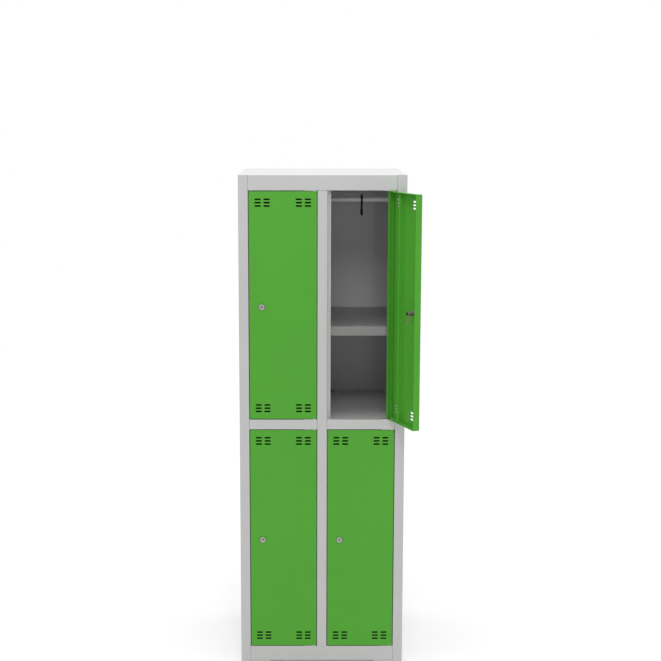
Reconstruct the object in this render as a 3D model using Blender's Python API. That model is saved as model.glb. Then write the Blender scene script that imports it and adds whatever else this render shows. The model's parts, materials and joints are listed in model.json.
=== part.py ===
"""A school locker of folded sheet steel: two columns of two compartments, four doors hinged on their
right edges, a shelf, a hanging rail and a sliding coat hook in each compartment, and cam locks.

Metres, +Z up, front towards -Y. The upper right door stands open, as it is kept. The origin is on the
floor, under the centre of the box that holds the locker with that door open.
"""

import math

import bmesh
import bpy
from mathutils import Matrix, Vector

# Whole locker
WIDTH = 0.600
DEPTH = 0.600
BODY_HEIGHT = 1.800
LEG_HEIGHT = 0.020
SHEET = 0.0008
BEND_RADIUS = 0.0010
FIT = 0.0003
OVERRUN = 0.002

# Front frame
SIDE_FLANGE = 0.035
POST_WIDTH = 0.035
TOP_BAND = 0.055
MIDDLE_RAIL = 0.0365
PLINTH = 0.0545
JAMB_DEPTH = 0.027
STOP_FLANGE = 0.013
PLINTH_RETURN = 0.025
REAR_FLANGE = 0.020
WALL_FRONT_FLANGE = 0.028
WALL_REAR_FLANGE = 0.015
EDGE_CLEARANCE = 0.001
NOTCH_STUB = 0.0001

# Feet
FOOT_WIDTH = 0.0747
FOOT_DEPTH = 0.060
FOOT_SHEET = 0.0015
FOOT_SETBACK = 0.003
FOOT_BEND_RADIUS = 0.002

# Doors
DOOR_GAP = 0.00275
DOOR_DEPTH = 0.024
DOOR_EDGE_RADIUS = 0.0015
HINGE_LIP = 0.014
HINGE_FROM_EDGE = 0.0095
HINGE_FROM_FRONT = 0.0065
OPEN_ANGLE = math.radians(109.8)

# Ventilation slots, measured from the nearest edges of the door
SLOT_LENGTH = 0.0235
SLOT_WIDTH = 0.006
SLOT_FROM_EDGE = 0.020
SLOT_COLUMN_PITCH = 0.032
SLOT_FROM_END = 0.028
SLOT_ROW_PITCH = 0.0118
SLOT_COLUMNS = 2
SLOT_ROWS = 3
SLOT_END_STEPS = 3

# Door stiffener, a folded hat section
STIFFENER_FROM_HINGE_EDGE = 0.0895
STIFFENER_HEIGHT = 0.018
STIFFENER_TOP = 0.008
STIFFENER_FOOT = 0.0055

# Hinge pins
PIN_RADIUS = 0.0025
PIN_HEAD_RADIUS = 0.0045
PIN_HEAD = 0.0015
PIN_REACH = 0.004
PIN_STEPS = 14

# Cam locks
LOCK_FROM_FREE_EDGE = 0.0445
LOCK_BELOW_MIDDLE = 0.002
LOCK_HEAD_RADIUS = 0.0118
LOCK_HEAD = 0.0025
LOCK_HEAD_EDGE = 0.0012
LOCK_BARREL_RADIUS = 0.008
LOCK_BARREL_LENGTH = 0.0297
LOCK_STEPS = 20
NUT_ACROSS_FLATS = 0.0195
NUT_THICKNESS = 0.0045
PLUG_RADIUS = 0.006
PLUG_RECESS = 0.0003
PLUG_TAIL = 0.006
PLUG_TAIL_LENGTH = 0.0042
KEY_SLOT_LENGTH = 0.0095
KEY_SLOT_WIDTH = 0.002
KEY_SLOT_DEPTH = 0.005
KEY_SLOT_ANGLE = math.radians(45.0)
CAM_REACH = 0.039
CAM_WIDTH = 0.014
CAM_TIP_WIDTH = 0.011
CAM_THICKNESS = 0.002
CAM_STEPS = 10

# Shelves, hanging rails and coat hooks
SHELF_BELOW_CAM = 0.0355
SHELF_FRONT = 0.035
SHELF_LIP = 0.034
SHELF_LIP_RETURN = 0.012
SHELF_REAR_FOLD = 0.020
RAIL_RADIUS = 0.010
RAIL_WALL = 0.0015
RAIL_BELOW_OPENING = 0.0475
RAIL_FROM_FRONT = 0.300
RAIL_STEPS = 20
HOOK_THICKNESS = 0.007
HOOK_RING_RADIUS = 0.019
HOOK_RING_CLEARANCE = 0.0005
HOOK_STEM = 0.008
HOOK_BOWL_RADIUS = 0.012
HOOK_BOWL_BELOW_RAIL = 0.0395
HOOK_TIP_ANGLE = math.radians(-8.0)
HOOK_EDGE = 0.001
HOOK_RING_STEPS = 18
HOOK_BOWL_STEPS = 9
HOOK_TIP_STEPS = 4

BEND_STEPS = 3
BEVEL_SHARE = 0.5

# Places that follow from the sizes above
BODY_TOP = LEG_HEIGHT + BODY_HEIGHT
OPENING_WIDTH = (WIDTH - 2 * SIDE_FLANGE - POST_WIDTH) / 2
OPENING_HEIGHT = (BODY_HEIGHT - TOP_BAND - MIDDLE_RAIL - PLINTH) / 2
BASE_FLOOR_TOP = LEG_HEIGHT + PLINTH
MIDDLE_RAIL_FOOT = BASE_FLOOR_TOP + OPENING_HEIGHT
MIDDLE_FLOOR_TOP = MIDDLE_RAIL_FOOT + MIDDLE_RAIL
TOP_BAND_FOOT = MIDDLE_FLOOR_TOP + OPENING_HEIGHT
TOP_SHEET_UNDERSIDE = BODY_TOP - SHEET
BACK_PANEL_FRONT = DEPTH - SHEET
REAR_FOLD_BACK = BACK_PANEL_FRONT - FIT
FLOOR_BACK = REAR_FOLD_BACK - SHEET - BEND_RADIUS - FIT
JAMB_BACK = JAMB_DEPTH + SHEET
WALL_FRONT = JAMB_BACK + FIT
JAMB_FOLD = JAMB_DEPTH - BEND_RADIUS - SHEET
RETURN_BACK = JAMB_DEPTH - 2 * FIT
SIDE_WALL_INSIDE = WIDTH / 2 - SHEET

DOOR_WIDTH = OPENING_WIDTH - 2 * DOOR_GAP
DOOR_HEIGHT = OPENING_HEIGHT - 2 * DOOR_GAP
LOCK_ABOVE_FLOOR = DOOR_GAP + DOOR_HEIGHT / 2 - LOCK_BELOW_MIDDLE
SHELF_ABOVE_FLOOR = LOCK_ABOVE_FLOOR - CAM_REACH - SHELF_BELOW_CAM

COLUMNS = {
    "left": (-WIDTH / 2 + SIDE_FLANGE, -POST_WIDTH / 2),
    "right": (POST_WIDTH / 2, WIDTH / 2 - SIDE_FLANGE),
}
BAYS = {
    "left": (-SIDE_WALL_INSIDE + FIT, -SHEET / 2 - FIT),
    "right": (SHEET / 2 + FIT, SIDE_WALL_INSIDE - FIT),
}
ROWS = {
    "upper": (MIDDLE_FLOOR_TOP, TOP_BAND_FOOT),
    "lower": (BASE_FLOOR_TOP, MIDDLE_RAIL_FOOT),
}
OPEN_DOORS = {"upper_right": OPEN_ANGLE}


def clear_scene():
    for old in list(bpy.data.objects):
        bpy.data.objects.remove(old, do_unlink=True)


def material(name, colour, roughness, metallic):
    made = bpy.data.materials.new(name)
    made.use_nodes = True
    shader = made.node_tree.nodes["Principled BSDF"]
    shader.inputs["Base Color"].default_value = (*colour, 1.0)
    shader.inputs["Roughness"].default_value = roughness
    shader.inputs["Metallic"].default_value = metallic
    made.diffuse_color = (*colour, 1.0)
    return made


def add_object(name, mesh, finish, parent=None, place=(0, 0, 0)):
    """Put a mesh in the scene as one named sub-part, placed in its parent's frame."""
    made = bpy.data.objects.new(name, mesh)
    bpy.context.scene.collection.objects.link(made)
    if finish is not None and not mesh.materials:
        mesh.materials.append(finish)
    made.parent = parent
    made.location = place
    return made


def add_frame(name, parent=None, place=(0, 0, 0), turn=0.0):
    """An empty that carries pieces, turned about its own vertical axis."""
    frame = bpy.data.objects.new(name, None)
    bpy.context.scene.collection.objects.link(frame)
    frame.empty_display_size = LEG_HEIGHT
    frame.parent = parent
    frame.location = place
    frame.rotation_euler.z = turn
    return frame


def mesh_of(name, shape):
    """Turn a finished bmesh into a mesh with its faces pointing out."""
    bmesh.ops.recalc_face_normals(shape, faces=shape.faces)
    mesh = bpy.data.meshes.new(name)
    shape.to_mesh(mesh)
    shape.free()
    return mesh


def add_prism(shape, outline, low, high, axes):
    """Extrude a flat outline from low to high. axes names where outline u, v and the length go."""
    columns = ["xyz".index(letter) for letter in axes]
    ends = []
    for level in (low, high):
        corners = []
        for u, v in outline:
            point = [0, 0, 0]
            point[columns[0]], point[columns[1]], point[columns[2]] = u, v, level
            corners.append(shape.verts.new(point))
        ends.append(corners)
    first, last = ends
    shape.faces.new(first)
    shape.faces.new(list(reversed(last)))
    for i, corner in enumerate(first):
        after = (i + 1) % len(first)
        shape.faces.new((corner, last[i], last[after], first[after]))


def prism(name, outline, low, high, axes):
    shape = bmesh.new()
    add_prism(shape, outline, low, high, axes)
    return mesh_of(name, shape)


def box_outline(low_u, high_u, low_v, high_v):
    return [(low_u, low_v), (high_u, low_v), (high_u, high_v), (low_u, high_v)]


def mirrored(outline):
    """The same outline on the other side of the locker's middle."""
    return [(-u, v) for u, v in reversed(outline)]


def arc(centre, radius, start, end, steps):
    """Points of an arc, both ends included, angles in radians."""
    turns = (start + (end - start) * i / steps for i in range(steps + 1))
    return [(centre[0] + radius * math.cos(t), centre[1] + radius * math.sin(t)) for t in turns]


def folded_outline(path, thickness, inner_radius, left=True):
    """Cross-section of a sheet folded along path, which is drawn on its outer face.

    The sheet's thickness lies to the left of the path, or to its right, and each fold is rounded.
    """
    points = [Vector(p) for p in path]
    side = 1.0 if left else -1.0
    half = thickness / 2
    ways = [(b - a).normalized() for a, b in zip(points, points[1:])]
    across = [Vector((-w.y, w.x)) * side for w in ways]
    middle = [points[0] + across[0] * half]
    for i in range(1, len(points) - 1):
        mitre = (across[i - 1] + across[i]).normalized()
        middle.append(points[i] + mitre * (half / mitre.dot(across[i])))
    middle.append(points[-1] + across[-1] * half)
    bend = inner_radius + half
    near, far = [middle[0] - across[0] * half], [middle[0] + across[0] * half]
    for i in range(1, len(points) - 1):
        before, after = ways[i - 1], ways[i]
        turn = before.cross(after)
        swing = before.angle(after)
        inward = Vector((-before.y, before.x)) * math.copysign(1.0, turn)
        centre = middle[i] - before * (bend * math.tan(swing / 2)) + inward * bend
        outer_is_near = (turn > 0) == left
        for step in range(BEND_STEPS + 1):
            spin = Matrix.Rotation(math.copysign(swing * step / BEND_STEPS, turn), 2)
            spoke = spin @ -inward
            outer, inner = centre + spoke * (bend + half), centre + spoke * (bend - half)
            near.append(outer if outer_is_near else inner)
            far.append(inner if outer_is_near else outer)
    near.append(middle[-1] - across[-1] * half)
    far.append(middle[-1] + across[-1] * half)
    return [tuple(p) for p in near + list(reversed(far))]


def add_turned(shape, profile, steps, close=False):
    """Turn a profile of (radius, height) points about Z. A closed profile makes a ring."""
    rings = []
    for radius, height in profile:
        if radius == 0:
            rings.append([shape.verts.new((0, 0, height))] * steps)
            continue
        ring = []
        for i in range(steps):
            turn = 2 * math.pi * i / steps
            ring.append(shape.verts.new((radius * math.cos(turn), radius * math.sin(turn), height)))
        rings.append(ring)
    pairs = list(zip(rings, rings[1:])) + ([(rings[-1], rings[0])] if close else [])
    for below, above in pairs:
        for i in range(steps):
            after = (i + 1) % steps
            corners = (below[i], below[after], above[after], above[i])
            shape.faces.new(list(dict.fromkeys(corners)))


def moved(shape, matrix):
    bmesh.ops.transform(shape, matrix=matrix, verts=shape.verts)


def smooth(mesh):
    mesh.shade_smooth()
    mesh.set_sharp_from_angle(angle=math.radians(40.0))
    return mesh


def cut(mesh, cutter_mesh):
    """The mesh with a closed cutter taken away, exactly."""
    body = add_object("body_to_cut", mesh, None)
    cutter = add_object("cutter", cutter_mesh, None)
    cutter.hide_render = True
    cutter.display_type = "WIRE"
    take = body.modifiers.new("cut", "BOOLEAN")
    take.operation = "DIFFERENCE"
    take.solver = "EXACT"
    take.object = cutter
    bpy.context.view_layer.update()
    made = bpy.data.meshes.new_from_object(body.evaluated_get(bpy.context.evaluated_depsgraph_get()))
    made.name = mesh.name
    bpy.data.objects.remove(body, do_unlink=True)
    bpy.data.objects.remove(cutter, do_unlink=True)
    return made


# Carcass

def side_panel(side, finish, locker):
    """Outer wall, rear flange, front flange, jamb and door stop, folded from one sheet.

    The door stop is cut off beside the feet.
    """
    jamb = -WIDTH / 2 + SIDE_FLANGE
    path = [
        (-WIDTH / 2 + REAR_FLANGE, REAR_FOLD_BACK),
        (-WIDTH / 2, REAR_FOLD_BACK),
        (-WIDTH / 2, 0),
        (jamb, 0),
        (jamb, JAMB_DEPTH),
        (jamb + STOP_FLANGE, JAMB_DEPTH),
    ]
    outline = folded_outline(path, SHEET, BEND_RADIUS)
    beside_foot = box_outline(jamb - OVERRUN, jamb + STOP_FLANGE + OVERRUN, JAMB_FOLD, WALL_FRONT)
    if side == "right":
        outline, beside_foot = mirrored(outline), mirrored(beside_foot)
    mesh = prism(side + "_side_panel", outline, EDGE_CLEARANCE, TOP_SHEET_UNDERSIDE - FIT, "xyz")
    mesh = cut(mesh, prism("stop_cutter", beside_foot, -OVERRUN, LEG_HEIGHT, "xyz"))
    return add_object(side + "_side_panel", smooth(mesh), finish, locker)


def back_panel(finish, locker):
    outline = box_outline(-WIDTH / 2, WIDTH / 2, BACK_PANEL_FRONT, DEPTH)
    mesh = prism("back_panel", outline, EDGE_CLEARANCE, TOP_SHEET_UNDERSIDE - FIT, "xyz")
    return add_object("back_panel", mesh, finish, locker)


def divider_post(finish, locker):
    """Hat section between the two columns of doors, with a door stop on each side."""
    half = POST_WIDTH / 2
    path = [
        (-half - STOP_FLANGE, JAMB_DEPTH),
        (-half, JAMB_DEPTH),
        (-half, 0),
        (half, 0),
        (half, JAMB_DEPTH),
        (half + STOP_FLANGE, JAMB_DEPTH),
    ]
    outline = folded_outline(path, SHEET, BEND_RADIUS)
    mesh = prism("divider_post", outline, BASE_FLOOR_TOP + FIT, TOP_BAND_FOOT - FIT, "xyz")
    return add_object("divider_post", smooth(mesh), finish, locker)


def divider_wall(finish, locker):
    """Full-height wall between the columns, folded along the post and along the back."""
    face = -SHEET / 2
    path = [
        (WALL_FRONT_FLANGE, WALL_FRONT),
        (face, WALL_FRONT),
        (face, REAR_FOLD_BACK - SHEET),
        (face - WALL_REAR_FLANGE, REAR_FOLD_BACK - SHEET),
    ]
    outline = folded_outline(path, SHEET, BEND_RADIUS, left=False)
    mesh = prism("divider_wall", outline, BASE_FLOOR_TOP + FIT, TOP_SHEET_UNDERSIDE - FIT, "xyz")
    return add_object("divider_wall", smooth(mesh), finish, locker)


def side_jamb_notch(side):
    """Plan of a side panel's front channel with its clearance, out past the wall."""
    face = WIDTH / 2 - SIDE_FLANGE - FIT
    stop = face - STOP_FLANGE
    outside = WIDTH / 2 + OVERRUN
    outline = [
        (outside, -OVERRUN),
        (face, -OVERRUN),
        (face, JAMB_DEPTH - FIT - BEND_RADIUS),
        (face - BEND_RADIUS, JAMB_DEPTH - FIT),
        (stop, JAMB_DEPTH - FIT),
        (stop, WALL_FRONT),
        (outside, WALL_FRONT),
    ]
    return outline if side == "right" else mirrored(outline)


def post_notch(side):
    """Plan of half the divider post and the wall's front flange, with their clearance."""
    face = POST_WIDTH / 2 + FIT
    stop = max(face + STOP_FLANGE, WALL_FRONT_FLANGE + FIT)
    behind = WALL_FRONT + SHEET + FIT
    outline = [
        (-OVERRUN, -OVERRUN),
        (face, -OVERRUN),
        (face, JAMB_DEPTH - FIT - BEND_RADIUS),
        (face + BEND_RADIUS, JAMB_DEPTH - FIT),
        (stop, JAMB_DEPTH - FIT),
        (stop, behind),
        (-OVERRUN, behind),
    ]
    return outline if side == "right" else mirrored(outline)


def pin_x(side):
    return COLUMNS[side][1] - DOOR_GAP - HINGE_FROM_EDGE


def add_pin_hole(shape, side, low, high):
    centre = (pin_x(side), HINGE_FROM_FRONT)
    outline = arc(centre, PIN_RADIUS + FIT, 0, 2 * math.pi, PIN_STEPS)[:-1]
    add_prism(shape, outline, low, high, "xyz")


def top_panel(finish, locker):
    """Roof sheet over the whole body, with the front band and its return, turned up behind."""
    path = [
        (DEPTH, BODY_TOP),
        (0, BODY_TOP),
        (0, TOP_BAND_FOOT),
        (RETURN_BACK, TOP_BAND_FOOT),
        (RETURN_BACK, TOP_BAND_FOOT + STOP_FLANGE),
    ]
    mesh = prism("top_panel", folded_outline(path, SHEET, BEND_RADIUS), -WIDTH / 2, WIDTH / 2, "yzx")
    cutter = bmesh.new()
    foot = TOP_BAND_FOOT - OVERRUN
    for side in COLUMNS:
        add_prism(cutter, side_jamb_notch(side), foot, TOP_SHEET_UNDERSIDE - NOTCH_STUB, "xyz")
        add_pin_hole(cutter, side, foot, TOP_BAND_FOOT + OVERRUN)
    mesh = cut(mesh, mesh_of("top_cutter", cutter))
    return add_object("top_panel", smooth(mesh), finish, locker)


def middle_floor(side, finish, locker):
    """Floor of the upper compartment with the rail between the doors, turned up behind."""
    path = [
        (FLOOR_BACK, MIDDLE_FLOOR_TOP - REAR_FLANGE),
        (FLOOR_BACK, MIDDLE_FLOOR_TOP),
        (0, MIDDLE_FLOOR_TOP),
        (0, MIDDLE_RAIL_FOOT),
        (RETURN_BACK, MIDDLE_RAIL_FOOT),
        (RETURN_BACK, MIDDLE_RAIL_FOOT + STOP_FLANGE),
    ]
    low, high = BAYS[side]
    name = side + "_middle_floor"
    mesh = prism(name, folded_outline(path, SHEET, BEND_RADIUS), low, high, "yzx")
    cutter = bmesh.new()
    foot, head = MIDDLE_RAIL_FOOT - OVERRUN, MIDDLE_FLOOR_TOP + OVERRUN
    add_prism(cutter, side_jamb_notch(side), foot, head, "xyz")
    add_prism(cutter, post_notch(side), foot, head, "xyz")
    add_pin_hole(cutter, side, foot, head)
    mesh = cut(mesh, mesh_of("floor_cutter", cutter))
    return add_object(name, smooth(mesh), finish, locker)


def base_floor(finish, locker):
    """Floor of both lower compartments, with the plinth in front and the same fold behind."""
    path = [
        (FLOOR_BACK - PLINTH_RETURN, LEG_HEIGHT),
        (FLOOR_BACK, LEG_HEIGHT),
        (FLOOR_BACK, BASE_FLOOR_TOP),
        (0, BASE_FLOOR_TOP),
        (0, LEG_HEIGHT),
        (PLINTH_RETURN, LEG_HEIGHT),
    ]
    half = SIDE_WALL_INSIDE - FIT
    mesh = prism("base_floor", folded_outline(path, SHEET, BEND_RADIUS), -half, half, "yzx")
    cutter = bmesh.new()
    for side in COLUMNS:
        add_prism(cutter, side_jamb_notch(side), LEG_HEIGHT - OVERRUN, BASE_FLOOR_TOP + OVERRUN, "xyz")
        add_pin_hole(cutter, side, BASE_FLOOR_TOP - OVERRUN, BASE_FLOOR_TOP + OVERRUN)
    mesh = cut(mesh, mesh_of("base_cutter", cutter))
    return add_object("base_floor", smooth(mesh), finish, locker)


def feet(finish, locker):
    """Four folded channels under the base, one beside each corner."""
    top = LEG_HEIGHT - FIT
    path = [(0, top), (0, 0), (FOOT_DEPTH, 0), (FOOT_DEPTH, top)]
    outline = folded_outline(path, FOOT_SHEET, FOOT_BEND_RADIUS)
    mesh = smooth(prism("foot", outline, 0, FOOT_WIDTH, "yzx"))
    outer = WIDTH / 2 - SIDE_FLANGE - FIT
    for row, y in (("front", FOOT_SETBACK), ("rear", FLOOR_BACK - FOOT_SETBACK - FOOT_DEPTH)):
        add_object(row + "_left_foot", mesh, finish, locker, (-outer, y, 0))
        add_object(row + "_right_foot", mesh, finish, locker, (outer - FOOT_WIDTH, y, 0))


# Hinge pins

def upper_pin_mesh():
    """Pin through the frame above a door, its head lying on the frame's return."""
    seat = SHEET + FIT
    shape = bmesh.new()
    profile = [
        (0, -DOOR_GAP - PIN_REACH),
        (PIN_RADIUS, -DOOR_GAP - PIN_REACH),
        (PIN_RADIUS, seat),
        (PIN_HEAD_RADIUS, seat),
        (PIN_HEAD_RADIUS, seat + PIN_HEAD),
        (0, seat + PIN_HEAD),
    ]
    add_turned(shape, profile, PIN_STEPS)
    return smooth(mesh_of("upper_pin", shape))


def lower_pin_mesh():
    """Pin through the floor below a door, with the collar that carries the door."""
    seat = -SHEET - FIT
    collar = DOOR_GAP - FIT
    shape = bmesh.new()
    profile = [
        (0, seat - PIN_HEAD),
        (PIN_HEAD_RADIUS, seat - PIN_HEAD),
        (PIN_HEAD_RADIUS, seat),
        (PIN_RADIUS, seat),
        (PIN_RADIUS, FIT),
        (PIN_HEAD_RADIUS, FIT),
        (PIN_HEAD_RADIUS, collar),
        (PIN_RADIUS, collar),
        (PIN_RADIUS, DOOR_GAP + PIN_REACH),
        (0, DOOR_GAP + PIN_REACH),
    ]
    add_turned(shape, profile, PIN_STEPS)
    return smooth(mesh_of("lower_pin", shape))


# Doors, each drawn in the frame of its own hinge axis, with z = 0 at the door's foot

def door_edges():
    """Left, right, front and back of a closed door, seen from its hinge axis."""
    right = HINGE_FROM_EDGE
    return right - DOOR_WIDTH, right, -HINGE_FROM_FRONT, DOOR_DEPTH - HINGE_FROM_FRONT


def slot_outline(centre_x, centre_z):
    reach = (SLOT_LENGTH - SLOT_WIDTH) / 2
    radius = SLOT_WIDTH / 2
    quarter = math.pi / 2
    right = arc((centre_x + reach, centre_z), radius, -quarter, quarter, SLOT_END_STEPS)
    left = arc((centre_x - reach, centre_z), radius, quarter, 3 * quarter, SLOT_END_STEPS)
    return right + left


def slot_centres():
    left, right, _, _ = door_edges()
    first = SLOT_FROM_EDGE + SLOT_LENGTH / 2
    for column in range(SLOT_COLUMNS):
        across = first + column * SLOT_COLUMN_PITCH
        for row in range(SLOT_ROWS):
            up = SLOT_FROM_END + row * SLOT_ROW_PITCH
            for x in (left + across, right - across):
                for z in (up, DOOR_HEIGHT - up):
                    yield x, z


def lock_place():
    """Centre of the lock in a door's own frame, on its front face."""
    left, _, front, _ = door_edges()
    return left + LOCK_FROM_FREE_EDGE, front, LOCK_ABOVE_FLOOR - DOOR_GAP


def door_panel_mesh():
    """Pan folded from one sheet: skin, four flanges and a lip along the hinge edge."""
    left, right, front, back = door_edges()
    shape = bmesh.new()
    add_prism(shape, box_outline(left, right, front, back), 0, DOOR_HEIGHT, "xyz")
    rounded = [e for e in shape.edges if min(v.co.y for v in e.verts) < 0]
    bmesh.ops.bevel(shape, geom=rounded, offset=DOOR_EDGE_RADIUS, segments=2, profile=BEVEL_SHARE, affect="EDGES")
    mesh = mesh_of("door_panel", shape)
    hollow = [
        (left + SHEET, front + SHEET),
        (right - SHEET, front + SHEET),
        (right - SHEET, back - SHEET),
        (right - HINGE_LIP, back - SHEET),
        (right - HINGE_LIP, back + OVERRUN),
        (left + SHEET, back + OVERRUN),
    ]
    mesh = cut(mesh, prism("door_hollow", hollow, SHEET, DOOR_HEIGHT - SHEET, "xyz"))
    holes = bmesh.new()
    for x, z in slot_centres():
        add_prism(holes, slot_outline(x, z), front - OVERRUN, front + SHEET + OVERRUN, "xzy")
    lock_x, _, lock_z = lock_place()
    barrel = arc((lock_x, lock_z), LOCK_BARREL_RADIUS + FIT, 0, 2 * math.pi, LOCK_STEPS)[:-1]
    add_prism(holes, barrel, front - OVERRUN, front + SHEET + OVERRUN, "xzy")
    pin = arc((0, 0), PIN_RADIUS + FIT, 0, 2 * math.pi, PIN_STEPS)[:-1]
    add_prism(holes, pin, -OVERRUN, DOOR_HEIGHT + OVERRUN, "xyz")
    return smooth(cut(mesh, mesh_of("door_holes", holes)))


def stiffener_mesh():
    """Hat section that lies on the inside of the skin and runs from foot to head."""
    _, right, front, _ = door_edges()
    near = right - STIFFENER_FROM_HINGE_EDGE
    far = near + STIFFENER_TOP
    seat = front + SHEET + FIT
    foot = seat + SHEET
    crown = seat + STIFFENER_HEIGHT
    path = [
        (near - STIFFENER_FOOT, foot),
        (near, foot),
        (near, crown),
        (far, crown),
        (far, foot),
        (far + STIFFENER_FOOT, foot),
    ]
    outline = folded_outline(path, SHEET, BEND_RADIUS, left=False)
    return smooth(prism("door_stiffener", outline, SHEET + FIT, DOOR_HEIGHT - SHEET - FIT, "xyz"))


# Locks, drawn about their own axis along +Y, with y = 0 on the door's front face

def lock_axis_turn():
    """Turns a shape made along +Z so that it runs along +Y."""
    return Matrix.Rotation(-math.pi / 2, 4, "X")


def lock_body_mesh():
    """Round head in front of the door and the barrel through it, bored for the plug."""
    bore = PLUG_RADIUS + FIT
    profile = [
        (bore, -LOCK_HEAD),
        (LOCK_HEAD_RADIUS - LOCK_HEAD_EDGE, -LOCK_HEAD),
        (LOCK_HEAD_RADIUS, -LOCK_HEAD + LOCK_HEAD_EDGE),
        (LOCK_HEAD_RADIUS, -FIT),
        (LOCK_BARREL_RADIUS, -FIT),
        (LOCK_BARREL_RADIUS, LOCK_BARREL_LENGTH),
        (bore, LOCK_BARREL_LENGTH),
    ]
    shape = bmesh.new()
    add_turned(shape, profile, LOCK_STEPS, close=True)
    moved(shape, lock_axis_turn())
    return smooth(mesh_of("lock_body", shape))


def lock_nut_mesh():
    """Hexagon nut that clamps the barrel to the inside of the door skin."""
    corner = NUT_ACROSS_FLATS / 2 / math.cos(math.pi / 6)
    seat = SHEET + FIT
    hexagon = arc((0, 0), corner, 0, 2 * math.pi, 6)[:-1]
    mesh = prism("lock_nut", hexagon, seat, seat + NUT_THICKNESS, "xzy")
    bore = arc((0, 0), LOCK_BARREL_RADIUS + FIT, 0, 2 * math.pi, LOCK_STEPS)[:-1]
    hole = prism("nut_bore", bore, 0, seat + NUT_THICKNESS + OVERRUN, "xzy")
    return smooth(cut(mesh, hole))


def lock_plug_mesh():
    """Turning plug with its key slot in front and a square tail for the cam."""
    back = LOCK_BARREL_LENGTH + PLUG_TAIL_LENGTH
    profile = [
        (0, -LOCK_HEAD + PLUG_RECESS),
        (PLUG_RADIUS, -LOCK_HEAD + PLUG_RECESS),
        (PLUG_RADIUS, back),
        (0, back),
    ]
    shape = bmesh.new()
    add_turned(shape, profile, LOCK_STEPS)
    moved(shape, lock_axis_turn())
    mesh = mesh_of("lock_plug", shape)
    along, across = KEY_SLOT_LENGTH / 2, KEY_SLOT_WIDTH / 2
    slot = bmesh.new()
    outline = box_outline(-along, along, -across, across)
    add_prism(slot, outline, -LOCK_HEAD - OVERRUN, -LOCK_HEAD + KEY_SLOT_DEPTH, "xzy")
    moved(slot, Matrix.Rotation(-KEY_SLOT_ANGLE, 4, "Y"))
    mesh = cut(mesh, mesh_of("key_slot", slot))
    around = arc((0, 0), PLUG_RADIUS + OVERRUN, 0, 2 * math.pi, LOCK_STEPS)[:-1]
    sleeve = prism("tail_sleeve", around, LOCK_BARREL_LENGTH, back + OVERRUN, "xzy")
    half = PLUG_TAIL / 2
    square = box_outline(-half, half, -half, half)
    core = prism("tail_core", square, LOCK_BARREL_LENGTH - OVERRUN, back + 2 * OVERRUN, "xzy")
    return smooth(cut(mesh, cut(sleeve, core)))


def cam_outline():
    """Flat lever that hangs down from the plug: round at the plug, tapering to a round tip."""
    hub, tip = CAM_WIDTH / 2, CAM_TIP_WIDTH / 2
    end = (0, -CAM_REACH + tip)
    lean = math.asin((hub - tip) / (CAM_REACH - tip))
    top = arc((0, 0), hub, -lean, math.pi + lean, CAM_STEPS)
    foot = arc(end, tip, math.pi + lean, 2 * math.pi - lean, CAM_STEPS)
    return top + foot


def lock_cam_mesh():
    front = LOCK_BARREL_LENGTH + FIT
    mesh = prism("lock_cam", cam_outline(), front, front + CAM_THICKNESS, "xzy")
    half = PLUG_TAIL / 2 + FIT
    outline = box_outline(-half, half, -half, half)
    hole = prism("cam_hole", outline, front - OVERRUN, front + CAM_THICKNESS + OVERRUN, "xzy")
    return smooth(cut(mesh, hole))


# What each compartment holds

def shelf_mesh(side):
    """Shelf folded from one sheet, with a deep front lip turned in below and a fold behind."""
    low, high = BAYS[side]
    path = [
        (FLOOR_BACK, -SHELF_REAR_FOLD),
        (FLOOR_BACK, 0),
        (SHELF_FRONT, 0),
        (SHELF_FRONT, -SHELF_LIP),
        (SHELF_FRONT + SHELF_LIP_RETURN, -SHELF_LIP),
    ]
    return smooth(prism("shelf", folded_outline(path, SHEET, BEND_RADIUS), low, high, "yzx"))


def rail_mesh(side):
    """Round tube between the walls of a compartment."""
    low, high = BAYS[side]
    outer, inner = RAIL_RADIUS, RAIL_RADIUS - RAIL_WALL
    shape = bmesh.new()
    add_turned(shape, [(inner, low), (outer, low), (outer, high), (inner, high)], RAIL_STEPS, close=True)
    moved(shape, Matrix.Rotation(math.pi / 2, 4, "Y"))
    return smooth(mesh_of("hanging_rail", shape))


def hook_outline():
    """Ring round the rail, a stem, and two bowls that turn up in front and behind."""
    half = HOOK_STEM / 2
    bowl, outer = HOOK_BOWL_RADIUS, HOOK_BOWL_RADIUS + HOOK_STEM
    centre = (half + bowl, -HOOK_BOWL_BELOW_RAIL)
    neck = math.asin(half / HOOK_RING_RADIUS)
    ring = arc((0, 0), HOOK_RING_RADIUS, -math.pi / 2 + neck, math.pi / 2, HOOK_RING_STEPS)
    foot = math.acos(centre[0] / outer)
    below = arc(centre, outer, math.pi + foot, 2 * math.pi + HOOK_TIP_ANGLE, HOOK_BOWL_STEPS)
    tip_radius = bowl + half
    tip_centre = (
        centre[0] + tip_radius * math.cos(HOOK_TIP_ANGLE),
        centre[1] + tip_radius * math.sin(HOOK_TIP_ANGLE),
    )
    tip = arc(tip_centre, half, HOOK_TIP_ANGLE, HOOK_TIP_ANGLE + math.pi, HOOK_TIP_STEPS)[1:-1]
    above = arc(centre, bowl, 2 * math.pi + HOOK_TIP_ANGLE, math.pi, HOOK_BOWL_STEPS)
    right = below + tip + above + ring
    return right + mirrored(right)[1:-1]


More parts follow.
